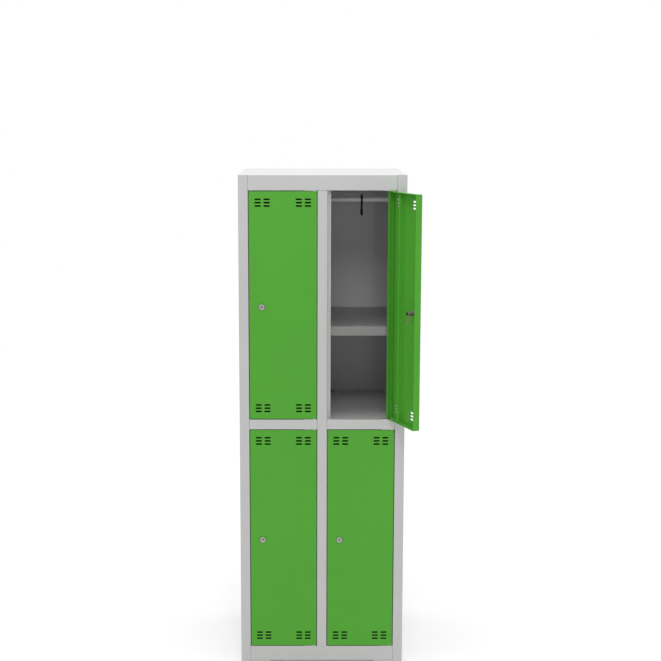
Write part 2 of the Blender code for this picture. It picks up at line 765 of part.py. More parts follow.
def hook_mesh():
    """Sliding coat hook, drawn about the rail's centre."""
    half = HOOK_THICKNESS / 2
    shape = bmesh.new()
    add_prism(shape, hook_outline(), -half, half, "yzx")
    rims = [e for e in shape.edges if abs(e.verts[0].co.x - e.verts[1].co.x) < HOOK_EDGE]
    bmesh.ops.bevel(shape, geom=rims, offset=HOOK_EDGE, segments=1, profile=BEVEL_SHARE, affect="EDGES")
    mesh = mesh_of("coat_hook", shape)
    radius = RAIL_RADIUS + HOOK_RING_CLEARANCE
    circle = arc((0, 0), radius, 0, 2 * math.pi, RAIL_STEPS)[:-1]
    return smooth(cut(mesh, prism("hook_bore", circle, -half - OVERRUN, half + OVERRUN, "yzx")))


# Assembly

def opened_box_centre():
    """Plan centre of the box round the body and the doors that stand open."""
    low_x, high_x, low_y, high_y = -WIDTH / 2, WIDTH / 2, 0.0, DEPTH
    left, right, front, back = door_edges()
    for name, angle in OPEN_DOORS.items():
        side = name.split("_")[1]
        turn = Matrix.Rotation(angle, 2)
        for corner in ((left, front), (left, back), (right, front), (right, back)):
            point = Vector((pin_x(side), HINGE_FROM_FRONT)) + turn @ Vector(corner)
            low_x, high_x = min(low_x, point.x), max(high_x, point.x)
            low_y, high_y = min(low_y, point.y), max(high_y, point.y)
    return (low_x + high_x) / 2, (low_y + high_y) / 2


def add_carcass(finishes, locker):
    body = finishes["body"]
    top_panel(body, locker)
    base_floor(body, locker)
    back_panel(body, locker)
    divider_post(body, locker)
    divider_wall(body, locker)
    for side in COLUMNS:
        side_panel(side, body, locker)
        middle_floor(side, body, locker)
    feet(body, locker)


def add_doors(finishes, locker):
    panel, stiffener = door_panel_mesh(), stiffener_mesh()
    lock_body, nut = lock_body_mesh(), lock_nut_mesh()
    plug, cam = lock_plug_mesh(), lock_cam_mesh()
    upper_pin, lower_pin = upper_pin_mesh(), lower_pin_mesh()
    for row, (foot, head) in ROWS.items():
        for side in COLUMNS:
            name = row + "_" + side
            axis = (pin_x(side), HINGE_FROM_FRONT)
            add_object(name + "_top_hinge_pin", upper_pin, finishes["pin"], locker, (*axis, head))
            add_object(name + "_bottom_hinge_pin", lower_pin, finishes["pin"], locker, (*axis, foot))
            place = (*axis, foot + DOOR_GAP)
            hinge = add_frame(name + "_hinge", locker, place, OPEN_DOORS.get(name, 0.0))
            add_object(name + "_door_panel", panel, finishes["door"], hinge)
            add_object(name + "_door_stiffener", stiffener, finishes["door"], hinge)
            lock = add_frame(name + "_lock", hinge, lock_place())
            add_object(name + "_lock_body", lock_body, finishes["lock"], lock)
            add_object(name + "_lock_nut", nut, finishes["lock"], lock)
            add_object(name + "_lock_plug", plug, finishes["lock"], lock)
            add_object(name + "_lock_cam", cam, finishes["cam"], lock)


def add_fittings(finishes, locker):
    hook = hook_mesh()
    for side in COLUMNS:
        shelf, rail = shelf_mesh(side), rail_mesh(side)
        for row, (foot, head) in ROWS.items():
            name = row + "_" + side
            add_object(name + "_shelf", shelf, finishes["shelf"], locker, (0, 0, foot + SHELF_ABOVE_FLOOR))
            height = head - RAIL_BELOW_OPENING
            add_object(name + "_hanging_rail", rail, finishes["rail"], locker, (0, RAIL_FROM_FRONT, height))
            middle = sum(BAYS[side]) / 2
            place = (middle, RAIL_FROM_FRONT, height)
            add_object(name + "_coat_hook", hook, finishes["hook"], locker, place)


def main():
    clear_scene()
    finishes = {
        "body": material("light_grey_paint", (0.50, 0.51, 0.50), 0.45, 0.0),
        "door": material("green_paint", (0.095, 0.36, 0.048), 0.40, 0.0),
        "shelf": material("mid_grey_paint", (0.28, 0.28, 0.28), 0.45, 0.0),
        "lock": material("bright_nickel", (0.70, 0.70, 0.68), 0.25, 1.0),
        "cam": material("brass_cam", (0.62, 0.44, 0.20), 0.35, 1.0),
        "pin": material("zinc_pin", (0.60, 0.61, 0.62), 0.35, 1.0),
        "rail": material("grey_tube", (0.42, 0.42, 0.42), 0.35, 0.3),
        "hook": material("black_plastic", (0.012, 0.012, 0.013), 0.45, 0.0),
    }
    centre_x, centre_y = opened_box_centre()
    locker = add_frame("locker", None, (-centre_x, -centre_y, 0))
    add_carcass(finishes, locker)
    add_doors(finishes, locker)
    add_fittings(finishes, locker)


main()
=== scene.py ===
"""Paint, metal finishes, small fittings and a studio for a folded steel school locker."""

import functools
import json
import math

import bmesh
import bpy
from mathutils import Matrix, Vector


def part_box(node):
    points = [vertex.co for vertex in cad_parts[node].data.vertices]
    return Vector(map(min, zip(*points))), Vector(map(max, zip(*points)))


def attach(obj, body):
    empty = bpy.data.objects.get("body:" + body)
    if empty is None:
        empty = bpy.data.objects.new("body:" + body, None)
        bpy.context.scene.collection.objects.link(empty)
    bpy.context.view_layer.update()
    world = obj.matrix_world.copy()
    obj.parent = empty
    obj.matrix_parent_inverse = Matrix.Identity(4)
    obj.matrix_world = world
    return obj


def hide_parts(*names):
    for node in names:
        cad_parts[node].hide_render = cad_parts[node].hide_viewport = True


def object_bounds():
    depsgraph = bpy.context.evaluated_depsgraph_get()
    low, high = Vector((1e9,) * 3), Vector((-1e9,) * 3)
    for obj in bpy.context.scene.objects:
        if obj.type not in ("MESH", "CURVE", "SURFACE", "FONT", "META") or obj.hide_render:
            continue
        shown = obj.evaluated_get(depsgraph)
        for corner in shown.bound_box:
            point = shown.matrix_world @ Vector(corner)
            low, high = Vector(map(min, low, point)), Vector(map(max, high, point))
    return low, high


bl_info = {
    "name": "School Locker Finish",
    "version": (1, 0, 0),
    "blender": (4, 5, 0),
    "location": "View3D > Sidebar > Locker",
    "description": "Paints a folded steel locker, fits its locks, hinges and rails, and sets its studio",
    "category": "Object",
}

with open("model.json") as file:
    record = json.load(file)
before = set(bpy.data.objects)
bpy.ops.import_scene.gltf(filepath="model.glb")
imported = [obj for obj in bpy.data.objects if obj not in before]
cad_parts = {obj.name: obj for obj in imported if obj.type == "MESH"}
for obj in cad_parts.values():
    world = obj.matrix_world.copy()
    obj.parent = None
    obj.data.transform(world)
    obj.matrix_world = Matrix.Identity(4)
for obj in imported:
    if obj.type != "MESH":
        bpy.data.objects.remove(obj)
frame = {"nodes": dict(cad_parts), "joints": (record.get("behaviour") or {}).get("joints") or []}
CAD_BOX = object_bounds()
JOINTS = {joint["name"]: joint for joint in frame["joints"]}
COMPARTMENTS = ("upper_left", "upper_right", "lower_left", "lower_right")
CARCASS = (
    "top_panel", "back_panel", "base_floor", "divider_post", "divider_wall",
    "left_side_panel", "right_side_panel", "left_middle_floor", "right_middle_floor",
)
FEET = ("front_left_foot", "front_right_foot", "rear_left_foot", "rear_right_foot")
CLOSED = "lower_left"
HINGE_AXIS = JOINTS[CLOSED + "_door_hinge"]["pos_m"]
DOOR_LOW, DOOR_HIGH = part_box(CLOSED + "_door_panel")

# Small lengths that several fittings share, in metres
DOOR_SHEET = 0.0008
GAP = 0.0003
HOLE_SLACK = 0.0002
CHAMFER = 0.0002
RIVET_SUNK = 0.0002
OVERRUN = 0.001

# Points round a lathed piece, a fine one, a pin and a rivet
ROUND_STEPS, FINE_STEPS, PIN_STEPS, RIVET_STEPS = 48, 64, 32, 24

# Name, place and diameter of each lamp
LAMPS = (
    ("top", (0.0, -0.2, 4.2), 3.0),
    ("high", (0.0, -5.3, 4.8), 1.6),
    ("front", (0.44, -5.6, 1.40), 0.12),
)
FLOOR_HALF = 6.0
FLOOR_GLOW = 0.25
FLOOR_ROUGHNESS = 0.9
PHOTO_WIDTH = 661.0
SENSOR_WIDTH = 36.0
SIGHT = 50.0

# How much paler a paint is along folds and cut edges, where its coat is thin and a painted highlight
# lightens the rounded edge, and how much of that shows
PALE_GAIN, PALE_LIFT, PALE_SHARE = 1.25, 0.02, 0.35
DUST_DULLS = 0.5

WHITE = (1.0, 1.0, 1.0, 1.0)
# Black that is the cam screws' own finish and, on the lock heads' rims and in the key slots, painted shade.
BLACK_AND_PAINTED_SHADE = "blackened_zinc"
ZINC = "zinc_plate"


def span(node, axis):
    """Length of a node along x, y or z."""
    low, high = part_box(node)
    return getattr(high, axis) - getattr(low, axis)


def lock_reach(node, end):
    """How far behind the door's front face a piece of the closed lock starts or ends."""
    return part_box(CLOSED + node)[end].y - JOINTS[CLOSED + "_lock_turn"]["pos_m"][1]


def number(name, description, default, low=0.0, high=1.0, **kind):
    return bpy.props.FloatProperty(
        name=name, description=description, default=default, min=low, max=high, **kind)


def vector(name, description, default, **kind):
    return bpy.props.FloatVectorProperty(
        name=name, description=description, default=default, size=len(default), **kind)


size = functools.partial(number, unit="LENGTH", precision=5)
factor = functools.partial(number, subtype="FACTOR")
power = functools.partial(number, high=1000.0, unit="POWER")
colour = functools.partial(vector, min=0.0, max=1.0, subtype="COLOR")


# Settings

class LockerPaintSettings(bpy.types.PropertyGroup):
    body_colour: colour("Body paint", "Light grey powder coat of the carcass", (0.592, 0.586, 0.589))
    shelf_colour: colour("Shelf paint", "Mid grey powder coat of the shelves", (0.252, 0.250, 0.251))
    door_colour: colour("Door paint", "Green powder coat of the doors", (0.093, 0.410, 0.038))
    dust_colour: colour("Dust", "Pale dust that settles on level sheets", (0.560, 0.540, 0.500))
    dust: factor("Dust amount", "How much of a level sheet the dust covers", 0.07)
    roughness: factor("Roughness", "Roughness of the cured powder coat", 0.32)
    mottle: factor("Mottle", "How much the colour drifts over a sheet", 0.025)
    peel_size: size("Peel size", "Distance between the waves of the orange peel", 0.0022, 0.0002, 0.01)
    peel_height: size("Peel height", "Height of the orange peel", 0.00003, 0.0, 0.0005)
    # Along this width the coat is paler: partly a thinner coat, partly a painted highlight on the rounded
    # edge.
    edge: size("Edge", "Width of the thinner coat along folds and cut edges", 0.0012, 0.0001, 0.01)


class LockerLockSettings(bpy.types.PropertyGroup):
    nickel_colour: colour("Nickel", "Satin nickel plate of the lock's face and core", (0.43, 0.42, 0.40))
    barrel_colour: colour("Barrel", "Dull cast zinc of the threaded barrel", (0.16, 0.155, 0.15))
    # Black for the cam screw's own finish; on the head's rim and in the key slot the same black is painted
    # shade.
    dark_colour: colour("Dark finish", "Black of the rim, keyway and cam screw", (0.018, 0.018, 0.018))
    nut_colour: colour("Nut", "Bare steel of the nut", (0.72, 0.72, 0.70))
    cam_colour: colour("Cam", "Yellow passivated steel of the cams", (0.66, 0.56, 0.34))
    head_radius: size("Head radius", "Radius of the round head", span(CLOSED + "_lock_body", "x") / 2)
    head_height: size("Head height", "Height of the head on the door's face", -lock_reach("_lock_body", 0))
    rim: size("Rim", "Width of the sloping rim of the head", 0.0012)
    barrel_radius: size("Barrel radius", "Radius of the threaded barrel", 0.008)
    barrel_end: size("Barrel end", "From the door's face to the barrel's end", lock_reach("_lock_body", 1))
    thread_pitch: size("Thread pitch", "Pitch of the barrel's thread", 0.0015, 0.0005)
    thread_depth: size("Thread depth", "Depth of the barrel's thread", 0.0005)
    core_radius: size("Core radius", "Radius of the turning core", span(CLOSED + "_lock_plug", "x") / 2)
    core_end: size("Core end", "From the door's face to the core's end", lock_reach("_lock_plug", 1))
    key_slot: vector("Key slot", "Length, width and depth of the key slot", (0.0110, 0.0028, 0.0080),
                     unit="LENGTH", precision=5)
    nut_corner: size("Nut corner", "Radius over the corners of the nut", span(CLOSED + "_lock_nut", "x") / 2)
    nut_start: size("Nut start", "From the door's face to the nut's start", lock_reach("_lock_nut", 0))
    nut_end: size("Nut end", "From the door's face to the nut's end", lock_reach("_lock_nut", 1))
    cam_start: size("Cam start", "From the door's face to the cam's start", lock_reach("_lock_cam", 0))
    cam_end: size("Cam end", "From the door's face to the cam's end", lock_reach("_lock_cam", 1))
    cam_width: size("Cam width", "Width of the cam at the core", span(CLOSED + "_lock_cam", "x"))
    cam_reach: size("Cam reach", "Length of the cam below the core's axis", 0.039)
    cam_tip: size("Cam tip", "Width of the cam at its tip", 0.011)


class LockerHingeSettings(bpy.types.PropertyGroup):
    zinc_colour: colour("Zinc", "Zinc plate of the pivots and rivets", (0.72, 0.73, 0.74))
    pin_radius: size("Pin radius", "Radius of the pivot pins", 0.0025)
    head_radius: size("Head radius", "Radius of the pins' heads and collars", 0.0045)
    door_gap: size("Door gap", "Gap above and below a door", 0.00275)
    axis_inset: size("Axis inset", "From a door's hinge edge to its pivots", DOOR_HIGH.x - HINGE_AXIS[0])
    axis_depth: size("Axis depth", "From a door's face to its pivots", HINGE_AXIS[1] - DOOR_LOW.y)
    pad_length: size("Pad length", "Length of the pad that stiffens a door's flange", 0.029)
    pad_width: size("Pad width", "Width of the pad", 0.0155)
    pad_sheet: size("Pad thickness", "Thickness of the pad", 0.0015)
    pad_margin: size("Pad margin", "From the door's hinge edge and face to the pad", 0.0012)
    plate_length: size("Plate length", "Length of a pivot plate along the door's edge", 0.045)
    plate_width: size("Plate width", "Width of a pivot plate", 0.0175)
    plate_sheet: size("Plate sheet", "Thickness of a pivot plate", 0.0010)
    rivet_radius: size("Rivet radius", "Radius of the rivets in the pivot plates", 0.0027)
    back_rivet_radius: size("Back rivet radius", "Radius of the rivets round the back panel", 0.0032)
    back_rivets: bpy.props.IntProperty(
        name="Back rivets", description="Rivets in each upright row on the back", default=9, min=2, max=30)


class LockerRailSettings(bpy.types.PropertyGroup):
    tube_colour: colour("Rail", "Satin grey of the hanging rails", (0.86, 0.86, 0.86))
    plastic_colour: colour("Hook", "Black plastic of the coat hooks", (0.005, 0.005, 0.005))
    tube_wall: size("Tube wall", "Wall of the rail's tube", 0.0015)
    socket_radius: size("Socket radius", "Radius of the flange at each end of a rail", 0.0165)
    socket_depth: size("Socket depth", "How far a rail's end socket stands off the wall", 0.0042)
    hook_thickness: size(
        "Hook thickness", "Thickness of a coat hook along the rail", span(CLOSED + "_coat_hook", "x"))
    hook_ring: size("Hook ring", "Outer radius of the ring round the rail", 0.019)
    hook_stem: size("Hook stem", "Width of the hook's stem and arms", 0.008)
    hook_bowl: size("Hook bowl", "Inner radius of the two bowls", 0.012)
    hook_drop: size("Hook drop", "Height of the rail above the bowls' centres", 0.0395)
    hook_round: size("Hook rounding", "Rounding of the hook's edges", 0.0016)


class LockerStudioSettings(bpy.types.PropertyGroup):
    floor_colour: colour("Floor", "Pale studio floor", (0.93, 0.93, 0.93))
    floor_near: size("Floor near", "How far from the locker's middle its shadow shows", 0.8, 0.1, 10.0)
    floor_far: size("Floor far", "How far from the locker's middle the floor is white", 2.2, 0.1, 10.0)
    sky_strength: number("Sky", "Strength of the even light all round", 0.58, high=3.0)
    top_power: power("Top light", "Power of the wide light straight above", 56.0)
    high_power: power("High light", "Power of the wide light high before the locker", 62.0)
    front_power: power("Front light", "Power of the small light that reaches into the compartments", 3.8)
    camera_place: vector("Camera", "Place of the camera", (-0.0814, -5.5850, 2.0377), unit="LENGTH",
                         subtype="TRANSLATION")
    camera_pitch: number("Pitch", "How far the camera looks down", math.radians(10.43),
                         high=math.radians(45.0), subtype="ANGLE")
    focal_pixels: number("Focal length", "In pixels of a square picture 661 pixels wide", 1513.7,
                         100.0, 10000.0)
    centre_pixels: vector("Centre", "Where the camera's axis meets a picture 661 pixels wide",
                          (304.92, 390.80))


# Shader nodes

def feed(tree, node, values):
    """Link or set a node's inputs, each found by its name or number."""
    for label, value in values.items():
        if isinstance(value, bpy.types.NodeSocket):
            tree.links.new(value, node.inputs[label])
        else:
            node.inputs[label].default_value = value
    return node


def add_node(tree, kind, values, **traits):
    node = tree.nodes.new("ShaderNode" + kind)
    for trait, value in traits.items():
        setattr(node, trait, value)
    return feed(tree, node, values)


def math_node(tree, operation, *values, clamp=False):
    node = add_node(tree, "Math", dict(enumerate(values)), operation=operation, use_clamp=clamp)
    return node.outputs["Value"]


def times(tree, first, second, clamp=False):
    return math_node(tree, "MULTIPLY", first, second, clamp=clamp)


def plus(tree, first, second, clamp=False):
    return math_node(tree, "ADD", first, second, clamp=clamp)


def scaled(tree, vector, value):
    """A vector or colour times a value."""
    return add_node(tree, "VectorMath", {0: vector, "Scale": value}, operation="SCALE").outputs["Vector"]


def per_length(tree, vector, length):
    """A vector divided by a length, so that one unit is that length."""
    return scaled(tree, vector, math_node(tree, "DIVIDE", 1.0, length))


def noise(tree, place, scale=1.0, detail=2.0, roughness=0.5):
    values = {"Vector": place, "Scale": scale, "Detail": detail, "Roughness": roughness}
    return add_node(tree, "TexNoise", values).outputs["Fac"]


def mapped(tree, value, low, high, new_low=0.0, new_high=1.0):
    values = {"Value": value, "From Min": low, "From Max": high, "To Min": new_low, "To Max": new_high}
    return add_node(tree, "MapRange", values).outputs["Result"]


def spread(tree, cloud, low, high):
    """The middle of a noise's range, spread from one value to another."""
    return mapped(tree, cloud, 0.3, 0.7, low, high)


def mixed(tree, amount, first, second):
    """Two colours mixed. The numbers are those of the node's colour sockets."""
    return add_node(tree, "Mix", {0: amount, 6: first, 7: second}, data_type="RGBA").outputs[2]


def bumped(tree, height, distance, normal=None):
    values = {"Height": height, "Distance": distance}
    if normal is not None:
        values["Normal"] = normal
    return add_node(tree, "Bump", values).outputs["Normal"]


# Shader effects

SOCKET_KINDS = {"Place": "NodeSocketVector", "Normal": "NodeSocketVector", "Colour": "NodeSocketColor"}


def add_sockets(group, direction, labels):
    for label in labels:
        kind = SOCKET_KINDS.get(label, "NodeSocketFloat")
        group.interface.new_socket(label, in_out=direction, socket_type=kind)


def effect(tree, build, **values):
    """The outputs of a shader effect, whose node group is built on its first use."""
    inputs = {label.replace("_", " ").title(): value for label, value in values.items()}
    group = bpy.data.node_groups.get(build.__name__)
    if group is None:
        group = bpy.data.node_groups.new(build.__name__, "ShaderNodeTree")
        add_sockets(group, "INPUT", inputs)
        made = build(group, group.nodes.new("NodeGroupInput").outputs)
        add_sockets(group, "OUTPUT", made)
        feed(group, group.nodes.new("NodeGroupOutput"), made)
    return add_node(tree, "Group", inputs, node_tree=group).outputs


def powder_coat_skin(group, given):
    """Orange peel, slow drift of colour and uneven gloss of a baked powder coat."""
    place = given["Place"]
    peel = noise(group, per_length(group, place, given["Peel Size"]), detail=1.5, roughness=0.45)
    drift = noise(group, place, scale=3.5, roughness=0.6)
    grain = noise(group, place, scale=900.0, detail=1.0)
    mottle = math_node(group, "MULTIPLY_ADD", drift, 0.75, times(group, grain, 0.25))
    low = math_node(group, "SUBTRACT", 1.0, given["Mottle"])
    high = plus(group, 1.0, given["Mottle"])
    gloss = math_node(group, "SUBTRACT", drift, 0.5)
    return {
        "Colour": scaled(group, given["Colour"], spread(group, mottle, low, high)),
        "Roughness": math_node(group, "MULTIPLY_ADD", gloss, 0.12, given["Roughness"]),
        "Normal": bumped(group, peel, given["Peel Height"]),
    }


def thin_coat_edge(group, given):
    """A mask that is 1 on folds and cut edges, where a coat is thin and a painted highlight lightens the
    rounded edge, broken up by noise.
    """
    soft = add_node(group, "Bevel", {"Radius": given["Edge"]}, samples=3).outputs["Normal"]
    surface = add_node(group, "NewGeometry", {}).outputs["Normal"]
    facing = add_node(group, "VectorMath", {0: soft, 1: surface}, operation="DOT_PRODUCT")
    edge = mapped(group, facing.outputs["Value"], 0.985, 0.86)
    cloud = noise(group, given["Place"], scale=120.0, detail=3.0, roughness=0.6)
    broken = mapped(group, cloud, 0.42, 0.66)
    return {"Mask": times(group, edge, broken, clamp=True)}


def settled_dust(group, given):
    """A mask of dust that settles in drifts on surfaces that face up."""
    surface = add_node(group, "NewGeometry", {}).outputs["Normal"]
    upward = add_node(group, "SeparateXYZ", {"Vector": surface}).outputs["Z"]
    level = mapped(group, upward, 0.75, 0.98)
    cloud = noise(group, given["Place"], scale=9.0, detail=5.0, roughness=0.62)
    drifts = mapped(group, cloud, 0.30, 0.75, 0.35, 1.0)
    return {"Mask": times(group, times(group, level, drifts), given["Amount"], clamp=True)}


def plated_bloom(group, given):
    """Cloudy bloom and hairline scratches of a plated or passivated metal."""
    fine = per_length(group, given["Place"], given["Grain Size"])
    cloud = noise(group, fine, scale=0.6, detail=3.0, roughness=0.6)
    spangle = add_node(group, "TexVoronoi", {"Vector": fine, "Scale": 1.6}).outputs["Distance"]
    speckle = mapped(group, spangle, 0.0, 0.9, -0.03, 0.03)
    shade = plus(group, spread(group, cloud, 0.90, 1.0), speckle)
    dull = spread(group, cloud, 0.10, -0.06)
    drawn = {"Vector": fine, "Rotation": (0.3, 0.5, 0.2), "Scale": (0.7, 6.0, 5.0)}
    hairline = noise(group, add_node(group, "Mapping", drawn).outputs["Vector"], scale=2.0, roughness=0.7)
    return {
        "Colour": scaled(group, given["Colour"], shade),
        "Roughness": plus(group, given["Roughness"], dull, clamp=True),
        "Normal": bumped(group, hairline, given["Scratch Height"]),
    }


def lathe_rings(group, given):
    """Fine rings that a lathe leaves round a piece's own Y axis, as a height."""
    parts = add_node(group, "SeparateXYZ", {"Vector": given["Place"]}).outputs
    squares = [times(group, parts[axis], parts[axis]) for axis in "XZ"]
    radius = math_node(group, "SQRT", plus(group, *squares))
    turns = math_node(group, "DIVIDE", radius, given["Spacing"])
    wobble = times(group, noise(group, given["Place"], scale=350.0), 1.5)
    angle = times(group, plus(group, turns, wobble), 2 * math.pi)
    return {"Height": mapped(group, math_node(group, "SINE", angle), -1.0, 1.0)}


def moulded_texture(group, given):
    """Fine spark-eroded texture of moulded plastic, with paler rub marks."""
    grain = noise(group, per_length(group, given["Place"], given["Grain Size"]), roughness=0.6)
    rub = noise(group, given["Place"], scale=60.0, detail=3.0, roughness=0.6)
    pale = times(group, mapped(group, rub, 0.52, 0.78), 0.35)
    uneven = spread(group, grain, -0.05, 0.07)
    return {
        "Colour": mixed(group, pale, given["Colour"], (0.020, 0.020, 0.021, 1.0)),
        "Roughness": plus(group, given["Roughness"], uneven, clamp=True),
        "Height": grain,
    }


# Materials

def clear_material(name):
    """A material, its tree, its Principled shader, and the coordinates of the piece it is on."""
    made = bpy.data.materials.new(name)
    made.use_nodes = True
    tree = made.node_tree
    place = add_node(tree, "TexCoord", {}).outputs["Object"]
    return made, tree, tree.nodes["Principled BSDF"], place


def powder_coat(name, paint, settings, specular):
    """Powder coat with orange peel, paler edges from a thin coat and a painted highlight, and a little dust.
    """
    made, tree, shader, place = clear_material(name)
    skin = effect(tree, powder_coat_skin, place=place, colour=(*paint, 1.0), roughness=settings.roughness,
                  mottle=settings.mottle, peel_size=settings.peel_size, peel_height=settings.peel_height)
    edge = effect(tree, thin_coat_edge, place=place, edge=settings.edge)["Mask"]
    dust = effect(tree, settled_dust, place=place, amount=settings.dust)["Mask"]
    # Folds and cut edges turn paler: a thinner coat there, and a painted highlight for light caught on the
    # rounded edge.
    pale = [min(1.0, c * PALE_GAIN + PALE_LIFT) for c in paint]
    thin_and_highlit = mixed(tree, times(tree, edge, PALE_SHARE), skin["Colour"], (*pale, 1.0))
    feed(tree, shader, {
        "Base Color": mixed(tree, dust, thin_and_highlit, (*settings.dust_colour, 1.0)),
        "Roughness": math_node(tree, "MULTIPLY_ADD", dust, DUST_DULLS, skin["Roughness"]),
        "Normal": skin["Normal"],
        "Specular IOR Level": specular,
    })
    return made


def plated(name, metal, roughness, grain=0.0012, rings=0.0, drawn=1.0, scratches=0.000012, metallic=1.0):
    """Plated metal or satin lacquer, with rings round the Y axis where turned, or drawn along X."""
    made, tree, shader, place = clear_material(name)
    if drawn != 1.0:
        place = add_node(tree, "Mapping", {"Vector": place, "Scale": (drawn, 1.0, 1.0)}).outputs["Vector"]
    bloom = effect(tree, plated_bloom, place=place, colour=(*metal, 1.0), roughness=roughness,
                   grain_size=grain, scratch_height=scratches)
    normal = bloom["Normal"]
    if rings:
        height = effect(tree, lathe_rings, place=place, spacing=rings)["Height"]
        normal = bumped(tree, height, 0.000006, normal)
    feed(tree, shader, {"Base Color": bloom["Colour"], "Roughness": bloom["Roughness"], "Normal": normal,
                        "Metallic": metallic})
    return made


def moulded_plastic(plastic):
    """Black plastic with its moulded texture."""
    made, tree, shader, place = clear_material("black_moulded_plastic")
    skin = effect(tree, moulded_texture, place=place, colour=(*plastic, 1.0), roughness=0.55,
                  grain_size=0.0006)
    feed(tree, shader, {"Base Color": skin["Colour"], "Roughness": skin["Roughness"],
                        "Normal": bumped(tree, skin["Height"], 0.00002), "Specular IOR Level": 0.25})
    return made


def paint_nodes(context, part, coat, nodes, specular=0.5):
    """Give a powder coat in a part's colour to every slot of some nodes."""
    settings = context.scene.locker_paint
    made = powder_coat(coat, getattr(settings, part + "_colour"), settings, specular)
    for name in nodes:
        node = frame["nodes"][name]
        if not node.material_slots:
            raise RuntimeError(name + " has no material slot")
        for slot in node.material_slots:
            slot.material = made


def made_before(name):
    """A finish that an earlier step made."""
    made = bpy.data.materials.get(name)
    if made is None:
        raise RuntimeError("the step that makes " + name + " comes first")
    return made


# Shapes

def new_object(name, shape):
    """An object in the scene made from a bmesh, which is used up."""
    bmesh.ops.recalc_face_normals(shape, faces=shape.faces)
    mesh = bpy.data.meshes.new(name)
    shape.to_mesh(mesh)
    shape.free()
    made = bpy.data.objects.new(name, mesh)
    bpy.context.scene.collection.objects.link(made)
    return made


def place_piece(name, shape, finishes, body, at=Matrix.Identity(4), stands_for=None, angle=35.0):
    """Turn a bmesh into a piece that rides on a body and takes the finishes it is given."""
    piece = new_object(name, shape)
    for made in finishes:
        piece.data.materials.append(made)
    piece.data.shade_smooth()
    piece.data.set_sharp_from_angle(angle=math.radians(angle))
    piece.matrix_world = at
    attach(piece, body)
    if stands_for:
        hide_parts(stands_for)


def arc(centre, radius, start, end, steps):
    turns = (start + (end - start) * i / steps for i in range(steps + 1))
    return [(centre[0] + radius * math.cos(t), centre[1] + radius * math.sin(t)) for t in turns]


def axis_point(u, v, along, axis):
    return {"x": (along, u, v), "y": (u, along, v), "z": (u, v, along)}[axis]


def ring(radius, along, count=ROUND_STEPS, axis="y"):
    """Points round an axis. Their radius and their height may be functions of the angle."""
    if radius == 0:
        return [axis_point(0.0, 0.0, along, axis)]
    points = []
    for i in range(count):
        turn = 2 * math.pi * i / count
        reach = radius(turn) if callable(radius) else radius
        level = along(turn) if callable(along) else along
        points.append(axis_point(reach * math.cos(turn), reach * math.sin(turn), level, axis))
    return points


def turned(rings, closed=False, shape=None):
    """Skin rings about a common axis, each a list of the same length or one point."""
    shape = bmesh.new() if shape is None else shape
    made = [[shape.verts.new(point) for point in points] for points in rings]
    pairs = list(zip(made, made[1:])) + ([(made[-1], made[0])] if closed else [])
    for near, far in pairs:
        count = max(len(near), len(far))
        for i in range(count):
            after = (i + 1) % count
            corners = [points[j % len(points)] for points, j in (
                (near, i), (near, after), (far, after), (far, i))]
            shape.faces.new(list(dict.fromkeys(corners)))
    return shape


def lathe(profile, count=ROUND_STEPS, axis="y", closed=False, shape=None):
    """Turn (radius, height) points about an axis."""
    return turned([ring(radius, along, count, axis) for radius, along in profile], closed, shape)


def rod(radius, low, high, count, axis):
    """Round bar that cuts a hole from one height to another."""
    low, high = low - OVERRUN, high + OVERRUN
    return lathe([(0, low), (radius, low), (radius, high), (0, high)], count, axis)


def plate(outline, low, high, axis="y", rounding=0.0, steps=2):
    """An outline extruded along an axis, its rims rounded."""
    shape = bmesh.new()
    ends = [[shape.verts.new(axis_point(u, v, level, axis)) for u, v in outline] for level in (low, high)]
    faces = [shape.faces.new(ends[0]), shape.faces.new(list(reversed(ends[1])))]
    for i in range(len(outline)):
        after = (i + 1) % len(outline)
        shape.faces.new((ends[0][i], ends[1][i], ends[1][after], ends[0][after]))
    if rounding:
        rims = [edge for face in faces for edge in face.edges]
        bmesh.ops.bevel(shape, geom=rims, offset=rounding, segments=steps, profile=0.5, affect="EDGES",
                        clamp_overlap=True)
    return shape


def rounded_box(low_u, high_u, low_v, high_v, radius, steps=4):
    """Outline of a rectangle with round corners."""
    left, right, bottom, top = low_u + radius, high_u - radius, low_v + radius, high_v - radius
    quarter = math.pi / 2
    outline = []
    for i, centre in enumerate(((right, top), (left, top), (left, bottom), (right, bottom))):
        outline += arc(centre, radius, i * quarter, (i + 1) * quarter, steps)
    return outline


def centred_box(length, width, radius, steps):
    return rounded_box(-length / 2, length / 2, -width / 2, width / 2, radius, steps)


def dome(radius, height, steps=5):
    """Profile of a low rivet or screw head, from its rim to its crown."""
    turns = [math.pi / 2 * i / steps for i in range(steps)]
    return [(radius * math.cos(t), height * math.sin(t)) for t in turns] + [(0, height)]


def add_rivet(shape, radius, rise, place, axis, way=1.0):
    """Domed rivet on a face that is square to an axis, at a place on that face."""
    rings = [ring(r, way * h, RIVET_STEPS, axis) for r, h in [(radius, -RIVET_SUNK)] + dome(radius, rise)]
    turned([[Vector(point) + Vector(place) for point in points] for points in rings], shape=shape)


def across(point):
    """Distance of a point from the Y axis."""
    return math.hypot(point.x, point.z)


def dull_faces(shape, chosen):
    """Give the piece's second material, black that paints shade, to the faces whose middles are chosen."""
    for face in shape.faces:
        if chosen(face.calc_center_median()):
            face.material_index = 1


